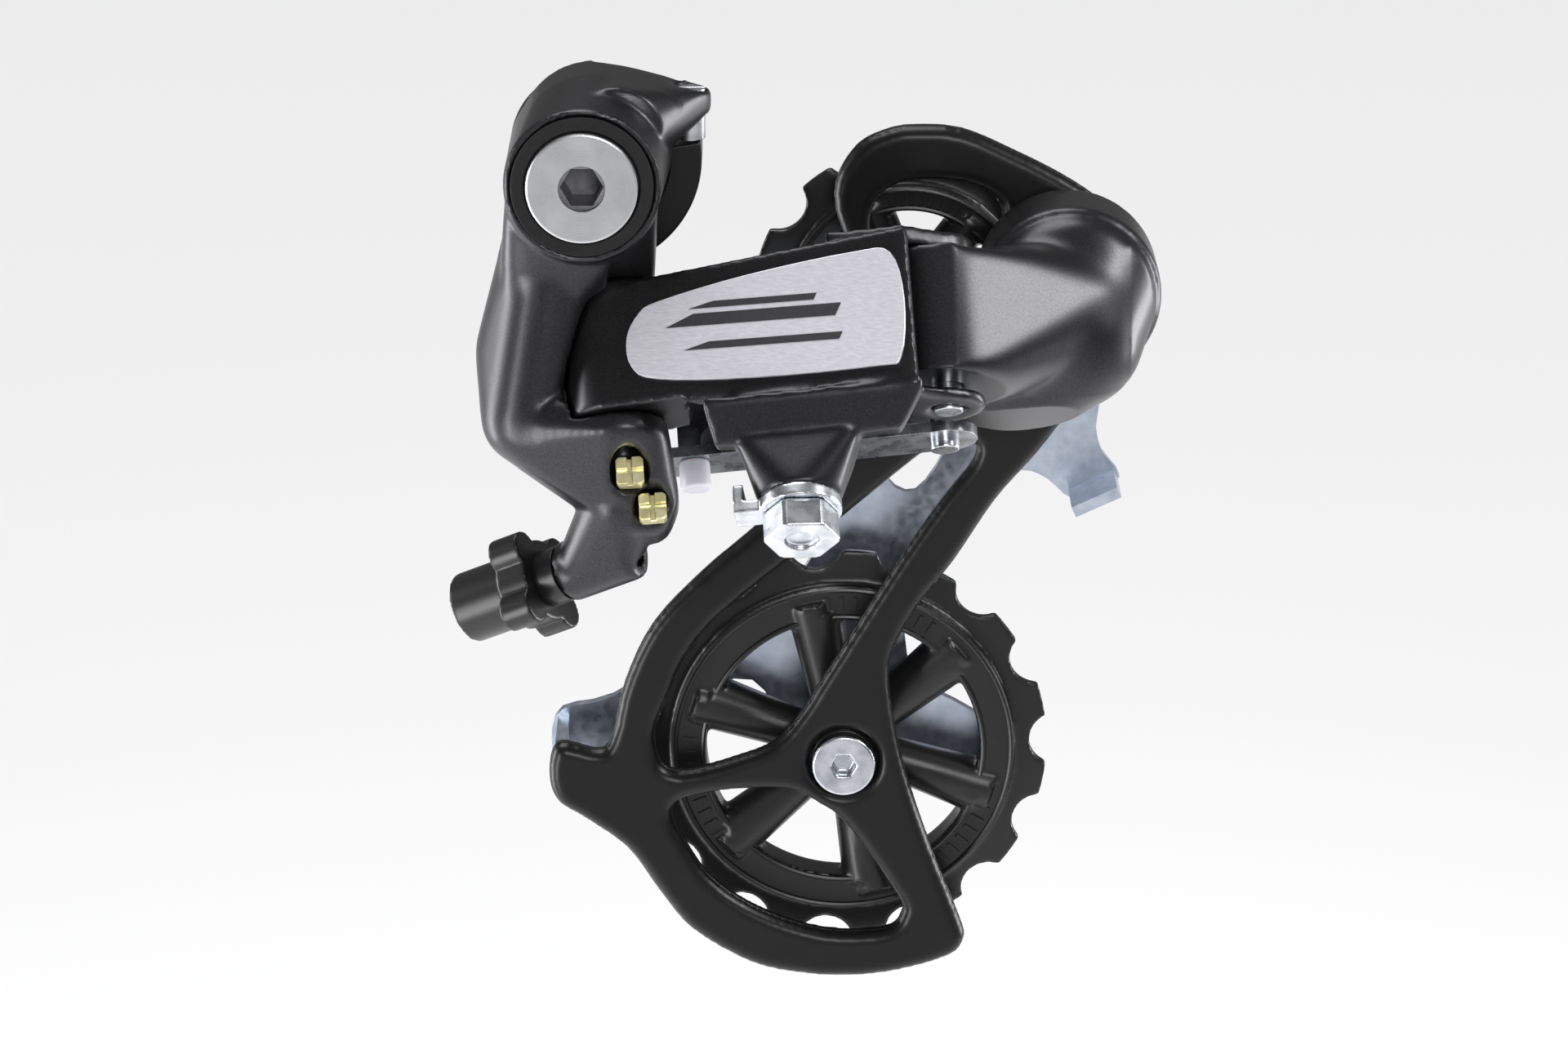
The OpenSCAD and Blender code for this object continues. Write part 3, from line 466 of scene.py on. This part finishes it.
# Name plate: satin anodised aluminium foil, glued to the shell, brushed along its length.
# It carries a plain stripe mark instead of a name.
plate_metal, tree = new_material("brushed_anodised_foil")
where = add(tree, "ShaderNodeTexCoord")
grain = add(tree, "ShaderNodeMapping",
            {"Rotation": (0, math.radians(6.8), 0), "Scale": (every(8.33), every(0.333), every(0.167))},
            {"Vector": where.outputs["Object"]})
brushing = add(tree, "ShaderNodeTexNoise", {"Scale": 1, "Detail": 4}, {"Vector": grain.outputs[0]})
tone = add(tree, "ShaderNodeValToRGB", links={"Fac": brushing.outputs[0]})
tone.color_ramp.elements[0].position = 0.3
tone.color_ramp.elements[0].color = linear("BEBDC5")
tone.color_ramp.elements[1].position = 0.7
tone.color_ramp.elements[1].color = linear("D2D1D8")
bump = add(tree, "ShaderNodeBump", {"Strength": 0.1, "Distance": 0.02 * MM}, {"Height": brushing.outputs[0]})
foil = add(tree, "ShaderNodeBsdfPrincipled", {"Metallic": 0.55, "Roughness": 0.42},
           {"Base Color": tone.outputs[0], "Normal": bump.outputs[0]})
add(tree, "ShaderNodeOutputMaterial", links={"Surface": foil.outputs[0]})
bm = cad_mesh("name_plate")
break_edges(bm, width=0.2)
show("name_plate_foil", bm, "outer_link", "silver_plate", plate_metal, "name_plate")

# Printed mark: three bars that lean towards the front, screen printed on the foil.
# The ink is black and half matt, a thin even film with a faint edge.
ink, tree = new_material("black_screen_ink")
where = add(tree, "ShaderNodeTexCoord")
film = add(tree, "ShaderNodeTexNoise", {"Scale": every(0.667), "Detail": 2},
           {"Vector": where.outputs["Object"]})
tone = add(tree, "ShaderNodeValToRGB", links={"Fac": film.outputs[0]})
tone.color_ramp.elements[0].color = linear("1D1D20")
tone.color_ramp.elements[1].color = linear("2A2A2E")
printed = add(tree, "ShaderNodeBsdfPrincipled", {"Roughness": 0.45}, {"Base Color": tone.outputs[0]})
add(tree, "ShaderNodeOutputMaterial", links={"Surface": printed.outputs[0]})
plate = bmesh.new()
plate.from_mesh(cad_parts["name_plate"].data)
plate.normal_update()
outside = max(plate.faces, key=lambda f: f.calc_area() * (f.normal.y < -0.5))
out = outside.normal.copy()
corners = [v.co.copy() for v in plate.verts if (v.co - outside.verts[0].co).dot(out) > -0.05 * MM]
plate.free()
middle_of_plate = sum(corners, Vector()) / len(corners)
along = (Vector((1, 0, 0)) - out * out.x).normalized()
across = along.cross(out)
if across.z < 0:
    across.negate()
lean = 0.45
taper = 3
clearance = 0.02
ink_h = 0.06
bm = bmesh.new()
for start, finish, level, height in ((-11, 6, 2.6, 0.9), (-13, 10, 0.2, 1.7), (-9, 12, -3.1, 1.0)):
    top = level + height
    bar = [bm.verts.new(middle_of_plate + (out * clearance + along * (x + lean * z) + across * z) * MM)
           for x, z in ((start, level), (finish, level), (finish, top), (start + taper, top))]
    face = bm.faces.new(bar)
    bmesh.ops.extrude_face_region(bm, geom=[face])
    bmesh.ops.translate(bm, vec=out * ink_h * MM, verts=bar)
bmesh.ops.recalc_face_normals(bm, faces=bm.faces)
show("printed_mark", bm, "outer_link", "black_paint", ink)

# Cable clamp: a hex bolt that pinches the cable under a hooked washer, at the tongue's end.
# Both are zinc-plated steel like the pins. The washer is pressed, so its edges are soft.
bm = fused(cad_mesh("cable_clamp_washer"), voxel=0.18, passes=8)
show("clamp_washer", bm, "outer_link", "zinc_steel", zinc_steel, "cable_clamp_washer")
bm = cad_mesh("cable_clamp_bolt")
break_edges(bm, width=0.5, segments=3)
show("clamp_bolt", bm, "outer_link", "zinc_steel", zinc_steel, "cable_clamp_bolt")

# Inner link: a channel pressed from zinc-plated steel, on pins B and D. It carries the pad that
# stops the link's travel, moulded in natural nylon, which is milky and lets a little light in.
bm = cad_mesh("inner_link")
break_edges(bm, width=0.25)
show("inner_link_channel", bm, "inner_link", "zinc_steel", zinc_steel, "inner_link")
pale_nylon, tree = new_material("moulded_natural_nylon")
where = add(tree, "ShaderNodeTexCoord")
haze = add(tree, "ShaderNodeTexNoise", {"Scale": every(2), "Detail": 2}, {"Vector": where.outputs["Object"]})
tone = add(tree, "ShaderNodeValToRGB", links={"Fac": haze.outputs[0]})
tone.color_ramp.elements[0].color = linear("CFCEDA")
tone.color_ramp.elements[1].color = linear("E6E5EC")
nylon = add(tree, "ShaderNodeBsdfPrincipled", {"Roughness": 0.4, "IOR": 1.53, "Subsurface Weight": 0.2,
                                               "Subsurface Scale": 1 * MM},
            {"Base Color": tone.outputs[0]})
add(tree, "ShaderNodeOutputMaterial", links={"Surface": nylon.outputs[0]})
bm = cad_mesh("limit_stop_pad")
break_edges(bm, width=0.6, segments=3)
show("stop_pad", bm, "inner_link", "pale_nylon", pale_nylon, "limit_stop_pad")

# Lower knuckle: the second aluminium casting, in the same charcoal paint as the first.
# It has a dome over the link pins, a belly over the cage's spring, and a flat below.
bm = fused(cad_mesh("p_knuckle"), voxel=0.42, passes=14)
# The dome is softer than the rest, and the flat is cut below it.
soften(bm, low=(49, -32, -31), high=(73, -6, -6), passes=40)
flat_faces = Vector((0, -0.55, -0.83)).normalized()
flat_at = Vector((62, -14.5, -32.7)) * MM
for vert in bm.verts:
    beyond = (vert.co - flat_at).dot(flat_faces)
    if beyond > 0:
        vert.co -= flat_faces * beyond
show("lower_knuckle_casting", bm, "lower_knuckle", "satin_paint", charcoal_paint, "p_knuckle")

# Cage: the outer plate is pressed from 3 mm steel and painted, with a wide rolled edge.
# The inner plate is thinner, zinc plated, with two tabs bent over to keep the chain in.
def roll_edge(bm, front, radius):
    """Rounds a plate's outboard edges to a radius, as a press rolls them."""
    rim = [v for v in bm.verts if abs(v.normal.y) < 0.4]
    tree = KDTree(len(rim))
    for i, vert in enumerate(rim):
        tree.insert((vert.co.x, 0, vert.co.z), i)
    tree.balance()
    for vert in bm.verts:
        depth = vert.co.y - front
        inwards = tree.find((vert.co.x, 0, vert.co.z))[2]
        if depth < radius and inwards < radius:
            drop = radius - math.sqrt(radius ** 2 - (radius - inwards) ** 2)
            vert.co.y = front + drop + depth * (1 - drop / radius)


bm = fused(cad_mesh("outer_cage_plate"), voxel=0.4, passes=3)
bm.normal_update()
roll_edge(bm, front=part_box("outer_cage_plate")[0].y, radius=1.7 * MM)
show("outer_plate", bm, "cage", "black_paint", black_paint, "outer_cage_plate")

# Blue zinc plate: a clear blue passivate over the zinc's spangle, drawn coarser than it is.
blue_zinc, tree = new_material("blue_zinc_plate")
where = add(tree, "ShaderNodeTexCoord")
spangle = add(tree, "ShaderNodeTexVoronoi", {"Scale": every(2.38)}, {"Vector": where.outputs["Object"]})
cloud = add(tree, "ShaderNodeTexNoise", {"Scale": every(1.11), "Detail": 4},
            {"Vector": where.outputs["Object"]})
mixed = add(tree, "ShaderNodeMix", {"data_type": "FLOAT", "Factor": 0.6},
            {"A": spangle.outputs["Distance"], "B": cloud.outputs[0]})
tone = add(tree, "ShaderNodeValToRGB", links={"Fac": mixed.outputs[0]})
tone.color_ramp.elements[0].position = 0.25
tone.color_ramp.elements[0].color = linear("A3ADBC")
tone.color_ramp.elements[1].position = 0.75
tone.color_ramp.elements[1].color = linear("C3CAD6")
shade = add(tree, "ShaderNodeMapRange", {"To Min": 0.22, "To Max": 0.42}, {"Value": cloud.outputs[0]})
metal = add(tree, "ShaderNodeBsdfPrincipled", {"Metallic": 1},
            {"Base Color": tone.outputs[0], "Roughness": shade.outputs[0]})
add(tree, "ShaderNodeOutputMaterial", links={"Surface": metal.outputs[0]})
bm = cad_mesh("inner_cage_plate")
break_edges(bm, width=0.35)
show("inner_plate", bm, "cage", "zinc_steel", blue_zinc, "inner_cage_plate")

# Pulleys: moulded in black nylon, with teeth thinned towards the tips to enter the chain,
# six spokes, and a raised rim. Each turns on its bush between two steel dust caps.
rim_face = 2.6
bead_r = 0.4


def turned(degrees):
    """Matrix that turns a part of the wheel about its axis."""
    return Matrix.Rotation(math.radians(degrees), 3, "Y")


def add_spoke(bm, hub, root_r, rim_r, length, angle):
    """A round spoke that widens from the hub to the rim."""
    cone = bmesh.ops.create_cone(bm, cap_ends=True, segments=32, radius1=root_r * MM, radius2=rim_r * MM,
                                 depth=length * MM)["verts"]
    bmesh.ops.rotate(bm, cent=(0, 0, 0), matrix=turned(90), verts=cone)
    bmesh.ops.translate(bm, vec=((spoke_start + length / 2) * MM, 0, 0), verts=cone)
    bmesh.ops.rotate(bm, cent=(0, 0, 0), matrix=turned(-angle), verts=cone)
    bmesh.ops.translate(bm, vec=hub, verts=cone)


def add_bead(bm, place, radius):
    """A raised round bead, turned about the wheel's axis."""
    ring = bmesh.ops.create_circle(bm, segments=8, radius=bead_r * MM)["verts"]
    bmesh.ops.translate(bm, vec=place + Vector((radius * MM, 0, 0)), verts=ring)
    edges = list({e for v in ring for e in v.link_edges})
    bmesh.ops.spin(bm, geom=ring + edges, cent=place, axis=(0, 1, 0), angle=math.tau, steps=96,
                   use_merge=True)


def add_tick(bm, place, radius, angle):
    """A short raised bar that points at the wheel's axis."""
    bar = bmesh.ops.create_cube(bm, size=1)["verts"]
    bmesh.ops.scale(bm, vec=Vector((2.0, 0.5, 0.55)) * MM, verts=bar)
    bmesh.ops.translate(bm, vec=(radius * MM, 0, 0), verts=bar)
    bmesh.ops.rotate(bm, cent=(0, 0, 0), matrix=turned(angle), verts=bar)
    bmesh.ops.translate(bm, vec=place, verts=bar)


spoke_start = 5
spoke_root_r = 3.0
tooth_h = 4
tip_thinning = 0.45
for name, tip, first_spoke, spoke_rim_r, beads in (("guide", 21.5, 52, 3.1, (13.5, 16.1)),
                                                   ("tension", 29.2, 42.5, 3.7, (20.0, 24.0))):
    node = name + "_pulley"
    hub = centre(name + "_bolt")
    hub.y = centre(node).y
    bm = bmesh.new()
    bm.from_mesh(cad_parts[node].data)
    for spoke in range(6):
        add_spoke(bm, hub, spoke_root_r, spoke_rim_r, tip - 12, first_spoke + 60 * spoke)
    bm = fused(bm, voxel=0.36, passes=3)
    for vert in bm.verts:
        up_tooth = ((vert.co - hub).xz.length / MM - (tip - tooth_h)) / tooth_h
        if up_tooth > 0:
            vert.co.y = hub.y + (vert.co.y - hub.y) * (1 - tip_thinning * up_tooth)
    outer_face, inner_face = (hub + Vector((0, side * rim_face * MM, 0)) for side in (-1, 1))
    for radius in beads:
        add_bead(bm, outer_face, radius)
        add_bead(bm, inner_face, radius)
    for group in range(3):
        for tick in range(9):
            add_tick(bm, outer_face, sum(beads) / 2, 120 * group + 5 * tick + 24)
    show(name + "_wheel", bm, node, "black_nylon", black_nylon, node)

    bm = cad_mesh(name + "_bolt")
    break_edges(bm, width=0.45, segments=3)
    show(name + "_wheel_bolt", bm, "cage", "zinc_steel", zinc_steel, name + "_bolt")
    for side in ("outer", "inner"):
        bm = cad_mesh(name + "_cap_" + side)
        break_edges(bm, width=0.3)
        show(name + "_dust_cap_" + side, bm, "cage", "zinc_steel", zinc_steel, name + "_cap_" + side)
